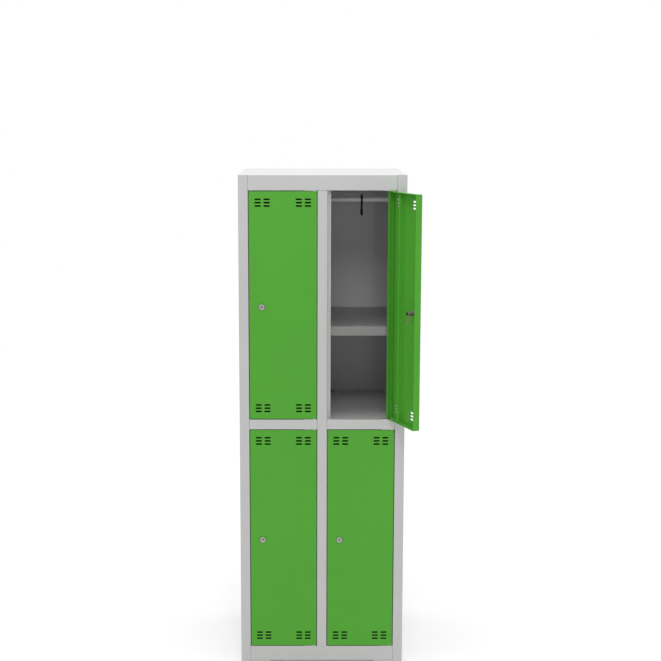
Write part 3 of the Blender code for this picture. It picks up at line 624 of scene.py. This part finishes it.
def cut_away(shape, cutter):
    """The first bmesh with the second taken away. Both are used up."""
    blank, tool = new_object("blank", shape), new_object("cutter", cutter)
    take = blank.modifiers.new("cut", "BOOLEAN")
    take.operation = "DIFFERENCE"
    take.solver = "EXACT"
    take.object = tool
    bpy.context.view_layer.update()
    result = bmesh.new()
    result.from_object(blank, bpy.context.evaluated_depsgraph_get())
    for piece in (blank, tool):
        mesh = piece.data
        bpy.data.objects.remove(piece, do_unlink=True)
        bpy.data.meshes.remove(mesh)
    return result


def door_frame(name, joint):
    """A frame on a joint of a door, turned as the door stands: Y runs in through the door, Z up."""
    along = Vector(JOINTS[name + "_lock_turn"]["axis"]).normalized()
    up = Vector((0.0, 0.0, 1.0))
    turn = Matrix((along.cross(up), along, up)).transposed().to_4x4()
    return Matrix.Translation(JOINTS[name + joint]["pos_m"]) @ turn


def fit_locks(settings, body, pieces):
    """Fit pieces to each lock: ending of the name, builder, finishes, slot (not used), and node replaced."""
    for name in COMPARTMENTS:
        at = door_frame(name, "_lock_turn")
        for ending, build, finishes, slot, node in pieces:
            stands_for = name + node if node else None
            place_piece(name + ending, build(settings), finishes, name + body, at, stands_for)


# Operators

class LOCKER_OT_paint_carcass(bpy.types.Operator):
    """Give the carcass and feet their light grey powder coat"""
    bl_idname = "locker.paint_carcass"
    bl_label = "Paint Carcass"

    def execute(self, context):
        paint_nodes(context, "body", "light_grey_powder_coat", (*CARCASS, *FEET))
        return {"FINISHED"}


class LOCKER_OT_paint_shelves(bpy.types.Operator):
    """Give the shelves their mid grey powder coat"""
    bl_idname = "locker.paint_shelves"
    bl_label = "Paint Shelves"

    def execute(self, context):
        paint_nodes(context, "shelf", "mid_grey_powder_coat", [name + "_shelf" for name in COMPARTMENTS])
        return {"FINISHED"}


class LOCKER_OT_paint_doors(bpy.types.Operator):
    """Give the doors and their stiffeners their green powder coat"""
    bl_idname = "locker.paint_doors"
    bl_label = "Paint Doors"

    def execute(self, context):
        nodes = [name + part for name in COMPARTMENTS for part in ("_door_panel", "_door_stiffener")]
        paint_nodes(context, "door", "green_powder_coat", nodes, specular=0.2)
        return {"FINISHED"}


class LOCKER_OT_fit_lock_cases(bpy.types.Operator):
    """Fit a round lock case with a sloping rim, a threaded barrel and a hexagon nut to each door"""
    bl_idname = "locker.fit_lock_cases"
    bl_label = "Fit Lock Cases"
    bore_lip = 0.0010
    lip_shares = ((0.0, 0.8), (0.4, 0.3), (0.7, 0.05), (1.0, 0.0))
    head_band = 0.0005
    rim_crest_share = 0.85
    shank_undercut = 0.0006
    thread_runout = 0.0008
    rings_in_pitch = 4
    nut_steps = 72
    nut_face_share = 0.35
    nut_slope = math.radians(30.0)
    nut_land = 0.00005
    nut_countersink = 0.0006

    def execute(self, context):
        settings = context.scene.locker_lock
        nickel = plated("turned_nickel", settings.nickel_colour, 0.24, grain=0.003, rings=0.00035)
        cast = plated("dull_cast_zinc", settings.barrel_colour, 0.52)
        black = plated(BLACK_AND_PAINTED_SHADE, settings.dark_colour, 0.45)
        steel = plated("bare_steel_nut", settings.nut_colour, 0.40, grain=0.0015)
        fit_locks(settings, "_door", (
            ("_lock_case", self.head, (nickel, black), "lock_metal", "_lock_body"),
            ("_case_barrel", self.barrel, (cast,), "lock_metal", None),
            ("_case_nut", self.nut, (steel,), "lock_metal", "_lock_nut"),
        ))
        return {"FINISHED"}

    def head(self, settings):
        """Round head with a sloping rim, painted black as shade, and a rounded bore for the core."""
        bore, radius, rim = settings.core_radius + GAP, settings.head_radius, settings.rim
        face, band = -settings.head_height, -GAP - self.head_band
        profile = [(bore + self.bore_lip * u, face + self.bore_lip * v) for u, v in self.lip_shares]
        profile += [
            (radius - rim, face), (radius - rim * self.rim_crest_share, face + CHAMFER / 2),
            (radius - CHAMFER, band - GAP), (radius, band), (radius, -GAP - CHAMFER / 2),
            (radius - CHAMFER, -GAP), (bore, -GAP),
        ]
        shape = lathe(profile, closed=True)
        # The rim is painted black as shade round the head.
        dull_faces(shape, lambda middle: across(middle) > radius - rim)
        return shape

    def barrel(self, settings):
        """Barrel with a plain shank in the door's hole and a thread behind it."""
        bore, top, end = settings.core_radius + GAP, settings.barrel_radius, settings.barrel_end
        pitch, depth, start = settings.thread_pitch, settings.thread_depth, settings.nut_start
        undercut, runout = self.shank_undercut, self.thread_runout
        shank, root = top - undercut, top - depth
        rings = [ring(bore, -GAP), ring(shank, -GAP), ring(shank, start)]
        length = end - runout - start
        steps = math.ceil(length / (pitch / self.rings_in_pitch))
        for i in range(steps + 1):
            along = start + length * i / steps

            def crest(turn, along=along):
                phase = (along / pitch - turn / (2 * math.pi)) % 1.0
                return top - depth * abs(2 * phase - 1.0)

            rings.append(ring(crest, along))
        rings += [ring(root - undercut / 3, end - runout / 2), ring(root - undercut, end), ring(bore, end)]
        return turned(rings, closed=True)

    def nut(self, settings):
        """Hexagon nut, chamfered at both ends."""
        corner, low, high = settings.nut_corner, settings.nut_start, settings.nut_end
        flat = corner * math.cos(math.pi / 6)
        bore = settings.barrel_radius + HOLE_SLACK
        circle = flat + (corner - flat) * self.nut_face_share
        count, sink = self.nut_steps, self.nut_countersink

        def hexagon(turn):
            return flat / math.cos((turn % (math.pi / 3)) - math.pi / 6)

        def chamfer(turn):
            return min(hexagon(turn), circle)

        def drop(turn):
            return max(0.0, hexagon(turn) - circle) * math.tan(self.nut_slope) + self.nut_land

        return turned([
            ring(bore, low, count), ring(chamfer, low, count), ring(hexagon, lambda t: low + drop(t), count),
            ring(hexagon, lambda t: high - drop(t), count), ring(chamfer, high, count),
            ring(bore + sink, high, count), ring(bore, high - sink, count),
        ], closed=True)


class LOCKER_OT_fit_lock_cores(bpy.types.Operator):
    """Fit a core with its key slot, a cam lever, a washer and a cam screw to each lock"""
    bl_idname = "locker.fit_lock_cores"
    bl_label = "Fit Lock Cores"
    core_chamfer = 0.0004
    core_tail = 0.0030
    slot_round_share = 0.3
    slot_face_share = 0.9
    lever_rounding = 0.0004
    washer_radius = 0.0058
    washer_sheet = 0.0009
    screw_radius = 0.0038
    screw_rise = 0.0013
    screw_foot = 0.0005
    screw_rim = 0.0007
    cross_length = 0.0052
    cross_width = 0.0009
    cross_corner = 0.0001

    def execute(self, context):
        settings = context.scene.locker_lock
        black = made_before(BLACK_AND_PAINTED_SHADE)
        nickel = plated("bright_nickel_core", settings.nickel_colour, 0.20, grain=0.003, rings=0.00022)
        yellow = plated("yellow_passivated_cam", settings.cam_colour, 0.40, grain=0.004)
        fit_locks(settings, "_lock", (
            ("_key_core", self.core, (nickel, black), "lock_metal", "_lock_plug"),
            ("_cam_lever", self.lever, (yellow,), "cam_brass", "_lock_cam"),
            ("_cam_screw", self.screw, (black,), "lock_metal", None),
        ))
        return {"FINISHED"}

    def core(self, settings):
        """Core with its face a little below the head's, a slanting key slot painted black as shade, and a
        thin tail.
        """
        face, radius, chamfer = GAP - settings.head_height, settings.core_radius, self.core_chamfer
        end, tail, tail_end = settings.barrel_end, self.core_tail, settings.core_end
        blank = lathe([
            (0, face), (radius - chamfer, face), (radius - chamfer / 4, face + chamfer / 4),
            (radius, face + chamfer), (radius, end), (tail, end), (tail, tail_end), (0, tail_end),
        ], FINE_STEPS)
        length, width, depth = settings.key_slot
        outline = centred_box(length, width, width * self.slot_round_share, 3)
        slot = plate(outline, face - OVERRUN, face + depth)
        bmesh.ops.transform(slot, matrix=Matrix.Rotation(-math.pi / 4, 4, "Y"), verts=slot.verts)
        shape = cut_away(blank, slot)
        reach = radius * self.slot_face_share
        # The key slot is painted black as shade inside the core.
        dull_faces(shape, lambda middle: across(middle) < reach and face < middle.y < settings.cam_start)
        return shape

    def lever(self, settings):
        """Cam that tapers from the core down to a round tip."""
        hub, tip = settings.cam_width / 2, settings.cam_tip / 2
        drop = settings.cam_reach - tip
        lean = math.asin((hub - tip) / drop)
        outline = arc((0, 0), hub, -lean, math.pi + lean, 24)
        outline += arc((0, -drop), tip, math.pi + lean, 2 * math.pi - lean, 16)
        return plate(outline, settings.cam_start, settings.cam_end, rounding=self.lever_rounding)

    def screw(self, settings):
        """Washer and cross-headed screw that hold the cam on the core."""
        seat, rim = settings.cam_end, settings.core_end + self.screw_rim
        foot, back = seat + self.screw_foot, seat + self.washer_sheet
        washer, radius, rise = self.washer_radius, self.screw_radius, self.screw_rise
        head = lathe([(0, foot), (radius, foot)] + [(r, rim + h) for r, h in dome(radius, rise)])
        long, narrow = self.cross_length, self.cross_width
        for length, width in ((long, narrow), (narrow, long)):
            outline = centred_box(length, width, self.cross_corner, 1)
            head = cut_away(head, plate(outline, rim + CHAMFER, rim + rise + OVERRUN))
        return lathe([
            (0, seat), (washer - CHAMFER, seat), (washer, seat + CHAMFER), (washer, back - CHAMFER),
            (washer - CHAMFER, back), (0, back),
        ], shape=head)


class LOCKER_OT_fit_hinges(bpy.types.Operator):
    """Fit a pivot pin, a riveted pivot plate and a door pad above and below each door"""
    bl_idname = "locker.fit_hinges"
    bl_label = "Fit Hinges"
    pin_chamfer = 0.0004
    pin_head = 0.0014
    pin_nose = 0.0012
    pad_gap = 0.0001
    corner = 0.0025
    plate_side = 0.0004
    plate_front = 0.0015
    pad_rivet_inset = 0.0060
    plate_rivet_insets = (0.0080, 0.0032)
    plate_rivet_aside = 0.0045
    rivet_rise = 0.0009

    def execute(self, context):
        settings = context.scene.locker_hinge
        zinc = plated(ZINC, settings.zinc_colour, 0.30, grain=0.0025)
        for name in COMPARTMENTS:
            low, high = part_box(name + "_door_panel")
            for end, edge, inward in (("_bottom", low.z, 1.0), ("_top", high.z, -1.0)):
                node = name + end + "_hinge_pin"
                fixed = Matrix.Translation((*JOINTS[name + "_door_hinge"]["pos_m"][:2], edge))
                swung = door_frame(name, "_door_hinge")
                swung.translation.z = edge
                for ending, shape, body, at, replaced in (
                    ("_hinge_pin_turned", self.pin(node, edge, inward, settings), "body", fixed, node),
                    ("_pivot_plate", self.pivot_plate(inward, settings), "body", fixed, None),
                    ("_door_pad", self.door_pad(inward, settings), name + "_door", swung, None),
                ):
                    place_piece(name + end + ending, shape, (zinc,), body, at, replaced)
        return {"FINISHED"}

    def pin(self, node, edge, inward, settings):
        """Pin with a head under the carcass's sheet and a collar in the gap. Heights run into the door."""
        low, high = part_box(node)
        foot, tip = sorted((inward * (low.z - edge), inward * (high.z - edge)))
        radius, head, chamfer = settings.pin_radius, settings.head_radius, self.pin_chamfer
        neck, collar, nose = foot + self.pin_head, GAP - settings.door_gap, tip - self.pin_nose
        profile = [
            (0, foot), (head - chamfer, foot), (head, foot + chamfer), (head, neck), (radius, neck),
            (radius, collar), (head - CHAMFER, collar), (head, collar + CHAMFER), (head, -GAP - CHAMFER),
            (head - CHAMFER, -GAP), (radius, -GAP),
        ]
        profile += [(r, nose + h) for r, h in dome(radius, self.pin_nose)]
        return lathe([(r, inward * along) for r, along in profile], PIN_STEPS, "z")

    def pivot_plate(self, inward, settings):
        """Plate on the carcass's edge beside the door, with two rivets."""
        measures = (settings.plate_length, settings.plate_width, settings.plate_sheet)
        far, front = settings.axis_inset - self.plate_side, self.plate_front - settings.axis_depth
        near_inset, far_inset = self.plate_rivet_insets
        rivets = ((near_inset, 0.0), (settings.plate_length - far_inset, self.plate_rivet_aside))
        return self.riveted_sheet(measures, far, front, -settings.door_gap, rivets, inward, settings)

    def door_pad(self, inward, settings):
        """Pad inside the door's flange, with one rivet."""
        measures = (settings.pad_length, settings.pad_width, settings.pad_sheet)
        far, front = settings.axis_inset - settings.pad_margin, settings.pad_margin - settings.axis_depth
        rivets = ((self.pad_rivet_inset, 0.0),)
        return self.riveted_sheet(measures, far, front, DOOR_SHEET + self.pad_gap, rivets, inward, settings)

    def riveted_sheet(self, measures, far, front, foot, rivets, inward, settings):
        """Flat piece with a hole for the pin. Its rivets are placed from its inner end and middle line."""
        length, width, sheet = measures
        near, face, middle = far - length, foot + sheet, front + width / 2
        low, high = sorted((inward * foot, inward * face))
        outline = rounded_box(near, far, front, front + width, self.corner)
        blank = plate(outline, low, high, "z", CHAMFER, 1)
        shape = cut_away(blank, rod(settings.pin_radius + HOLE_SLACK, low, high, PIN_STEPS, "z"))
        for inset, aside in rivets:
            place = (near + inset, middle + aside, inward * face)
            add_rivet(shape, settings.rivet_radius, self.rivet_rise, place, "z", inward)
        return shape


class LOCKER_OT_rivet_back(bpy.types.Operator):
    """Set the rivets that hold the back panel along both upright edges and along the middle wall"""
    bl_idname = "locker.rivet_back"
    bl_label = "Rivet Back Panel"
    side_inset = 0.010
    wall_offset = 0.008
    end_inset = 0.045
    rivet_rise = 0.0011

    def execute(self, context):
        settings = context.scene.locker_hinge
        low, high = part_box("back_panel")
        shape, gaps = bmesh.new(), settings.back_rivets - 1
        first, reach = low.z + self.end_inset, high.z - low.z - 2 * self.end_inset
        wall = (low.x + high.x) / 2 - self.wall_offset
        for x in (low.x + self.side_inset, wall, high.x - self.side_inset):
            for i in range(gaps + 1):
                place = (x, high.y, first + reach * i / gaps)
                add_rivet(shape, settings.back_rivet_radius, self.rivet_rise, place, "y")
        place_piece("back_panel_rivets", shape, (made_before(ZINC),), "body")
        return {"FINISHED"}


class LOCKER_OT_fit_rails(bpy.types.Operator):
    """Fit each hanging rail with its tube and the flanged socket at either end"""
    bl_idname = "locker.fit_rails"
    bl_label = "Fit Hanging Rails"
    tube_chamfer = 0.0003
    socket_sheet = 0.0012
    socket_slack = 0.0001
    socket_root = 0.0026
    socket_wall = 0.0021

    def execute(self, context):
        settings = context.scene.locker_rail
        satin = plated("satin_grey_tube", settings.tube_colour, 0.42, drawn=0.02, scratches=0.00001,
                       metallic=0.1)
        for name in COMPARTMENTS:
            node = name + "_hanging_rail"
            low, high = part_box(node)
            radius, half = (high.z - low.z) / 2, (high.x - low.x) / 2
            at = Matrix.Translation((low + high) / 2)
            tube = self.tube(radius, half, settings)
            place_piece(name + "_rail_tube", tube, (satin,), "body", at, node)
            sockets = self.sockets(radius, half, settings)
            place_piece(name + "_rail_sockets", sockets, (satin,), "body", at)
        return {"FINISHED"}

    def tube(self, radius, half, settings):
        inner, rim, end = radius - settings.tube_wall, radius - self.tube_chamfer, half - self.tube_chamfer
        return lathe([
            (inner, -half), (rim, -half), (radius, -end), (radius, end), (rim, half), (inner, half),
        ], axis="x", closed=True)

    def sockets(self, radius, half, settings):
        """Flange against each wall, with a short cup round the tube."""
        flange, chamfer = settings.socket_radius, self.tube_chamfer
        bore, cup = radius + self.socket_slack, radius + self.socket_wall
        face, mouth = half - self.socket_sheet, half - settings.socket_depth
        profile = [
            (bore, half), (flange, half), (flange, face + chamfer), (flange - chamfer, face),
            (radius + self.socket_root, face - CHAMFER), (cup, mouth + chamfer), (cup - chamfer, mouth),
            (bore, mouth),
        ]
        shape = bmesh.new()
        for way in (-1.0, 1.0):
            lathe([(r, way * along) for r, along in profile], axis="x", closed=True, shape=shape)
        return shape


class LOCKER_OT_fit_hooks(bpy.types.Operator):
    """Fit a moulded double coat hook on each rail"""
    bl_idname = "locker.fit_hooks"
    bl_label = "Fit Coat Hooks"
    ring_slack = 0.0005
    tip_turn = math.radians(-8.0)
    smooth_angle = 50.0

    def execute(self, context):
        settings = context.scene.locker_rail
        plastic = moulded_plastic(settings.plastic_colour)
        half = settings.hook_thickness / 2
        for name in COMPARTMENTS:
            node = name + "_coat_hook"
            low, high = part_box(name + "_hanging_rail")
            middle, radius = (low + high) / 2, (high.z - low.z) / 2 + self.ring_slack
            middle.x = sum(corner.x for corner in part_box(node)) / 2
            blank = plate(self.outline(settings), -half, half, "x", settings.hook_round, 4)
            hook = cut_away(blank, rod(radius, -half, half, FINE_STEPS, "x"))
            place_piece(name + "_moulded_hook", hook, (plastic,), name + "_hook",
                        Matrix.Translation(middle), node, self.smooth_angle)
        return {"FINISHED"}

    def outline(self, settings):
        """Ring round the rail, a stem and two bowls that turn up in front and behind."""
        half, bowl = settings.hook_stem / 2, settings.hook_bowl
        outer, middle, turn = bowl + settings.hook_stem, bowl + half, self.tip_turn
        centre = (middle, -settings.hook_drop)
        neck = math.asin(half / settings.hook_ring)
        foot = math.acos(middle / outer)
        tip = (centre[0] + middle * math.cos(turn), centre[1] + middle * math.sin(turn))
        right = arc(centre, outer, math.pi + foot, 2 * math.pi + turn, 28)
        right += arc(tip, half, turn, turn + math.pi, 12)[1:-1]
        right += arc(centre, bowl, 2 * math.pi + turn, math.pi, 28)
        right += arc((0, 0), settings.hook_ring, -math.pi / 2 + neck, math.pi / 2, 40)
        return right + [(-u, v) for u, v in reversed(right)][1:-1]


class LOCKER_OT_set_studio(bpy.types.Operator):
    """Set the pale floor, the even light and the camera"""
    bl_idname = "locker.set_studio"
    bl_label = "Set Studio"

    def execute(self, context):
        settings = context.scene.locker_studio
        context.scene.view_settings.view_transform = "Standard"
        self.set_sky(context.scene, settings)
        self.lay_floor(settings)
        self.set_lights(context.scene, settings)
        self.place_camera(context.scene, settings)
        return {"FINISHED"}

    def seen_directly(self, tree):
        """1 where the eye, a reflection or a clear piece looks straight at the surface."""
        path = add_node(tree, "LightPath", {}).outputs
        glossy = plus(tree, path["Is Camera Ray"], path["Is Glossy Ray"])
        return plus(tree, glossy, path["Is Transmission Ray"], clamp=True)

    def set_sky(self, scene, settings):
        """Even light from all round, from a sky that is seen as plain white."""
        scene.world = bpy.data.worlds.new("even_sky")
        scene.world.use_nodes = True
        tree = scene.world.node_tree
        light = feed(tree, tree.nodes["Background"], {"Color": WHITE, "Strength": settings.sky_strength})
        white = add_node(tree, "Background", {"Color": WHITE})
        backgrounds = (light.outputs["Background"], white.outputs["Background"])
        mix = add_node(tree, "MixShader", dict(enumerate((self.seen_directly(tree), *backgrounds))))
        feed(tree, tree.nodes["World Output"], {"Surface": mix.outputs["Shader"]})

    def lay_floor(self, settings):
        """Floor that keeps the locker's shadow and turns into the white behind it further out."""
        shape = bmesh.new()
        bmesh.ops.create_grid(shape, x_segments=1, y_segments=1, size=FLOOR_HALF)
        floor = new_object("studio_floor", shape)
        made, tree, shader, place = clear_material("pale_floor")
        reach = add_node(tree, "VectorMath", {0: place}, operation="LENGTH").outputs["Value"]
        out = mapped(tree, reach, settings.floor_near, settings.floor_far)
        seen = self.seen_directly(tree)
        white = times(tree, out, seen)
        cloud = spread(tree, noise(tree, place, scale=0.8), 0.985, 1.0)
        lit = times(tree, cloud, math_node(tree, "SUBTRACT", 1.0, white))
        feed(tree, shader, {
            "Base Color": scaled(tree, tuple(settings.floor_colour), lit),
            "Roughness": FLOOR_ROUGHNESS,
            "Emission Color": WHITE,
            "Emission Strength": times(tree, seen, mapped(tree, white, 0.0, 1.0, FLOOR_GLOW, 1.0)),
        })
        floor.data.materials.append(made)

    def set_lights(self, scene, settings):
        """Round lamps that all face the middle of the locker: two wide ones and a small hard one."""
        middle = (CAD_BOX[0] + CAD_BOX[1]) / 2
        for name, place, diameter in LAMPS:
            light = bpy.data.lights.new(name + "_light", "AREA")
            light.shape = "DISK"
            light.size = diameter
            light.energy = getattr(settings, name + "_power")
            lamp = bpy.data.objects.new(name + "_light", light)
            lamp.location = place
            lamp.rotation_euler = (middle - Vector(place)).to_track_quat("-Z", "Y").to_euler()
            scene.collection.objects.link(lamp)

    def place_camera(self, scene, settings):
        """Camera that frames the locker as the photograph does."""
        lens = bpy.data.cameras.new("photo_camera")
        lens.sensor_width = SENSOR_WIDTH
        lens.lens = settings.focal_pixels * SENSOR_WIDTH / PHOTO_WIDTH
        lens.shift_x = (PHOTO_WIDTH / 2 - settings.centre_pixels[0]) / PHOTO_WIDTH
        lens.shift_y = (settings.centre_pixels[1] - PHOTO_WIDTH / 2) / PHOTO_WIDTH
        lens.clip_end = SIGHT
        camera = bpy.data.objects.new("photo_camera", lens)
        scene.collection.objects.link(camera)
        camera.location = settings.camera_place
        camera.rotation_euler = (math.radians(90.0) - settings.camera_pitch, 0.0, 0.0)
        scene.camera = camera


class LOCKER_PT_finish(bpy.types.Panel):
    """Lists the steps that dress the locker"""
    bl_idname = "LOCKER_PT_finish"
    bl_label = "School Locker"
    bl_space_type = "VIEW_3D"
    bl_region_type = "UI"
    bl_category = "Locker"

    def draw(self, context):
        for step in STEPS:
            self.layout.operator(step.bl_idname)


STEPS = (
    LOCKER_OT_paint_carcass,
    LOCKER_OT_paint_shelves,
    LOCKER_OT_paint_doors,
    LOCKER_OT_fit_lock_cases,
    LOCKER_OT_fit_lock_cores,
    LOCKER_OT_fit_hinges,
    LOCKER_OT_rivet_back,
    LOCKER_OT_fit_rails,
    LOCKER_OT_fit_hooks,
    LOCKER_OT_set_studio,
)
SETTINGS = {
    "locker_paint": LockerPaintSettings,
    "locker_lock": LockerLockSettings,
    "locker_hinge": LockerHingeSettings,
    "locker_rail": LockerRailSettings,
    "locker_studio": LockerStudioSettings,
}


def register():
    for group in (*SETTINGS.values(), *STEPS, LOCKER_PT_finish):
        bpy.utils.register_class(group)
    for name, group in SETTINGS.items():
        setattr(bpy.types.Scene, name, bpy.props.PointerProperty(type=group))


def unregister():
    for name in SETTINGS:
        delattr(bpy.types.Scene, name)
    for group in (LOCKER_PT_finish, *reversed(STEPS), *reversed(SETTINGS.values())):
        bpy.utils.unregister_class(group)


def main():
    register()
    for step in STEPS:
        getattr(bpy.ops.locker, step.bl_idname.removeprefix("locker."))()


if __name__ == "__main__":
    main()
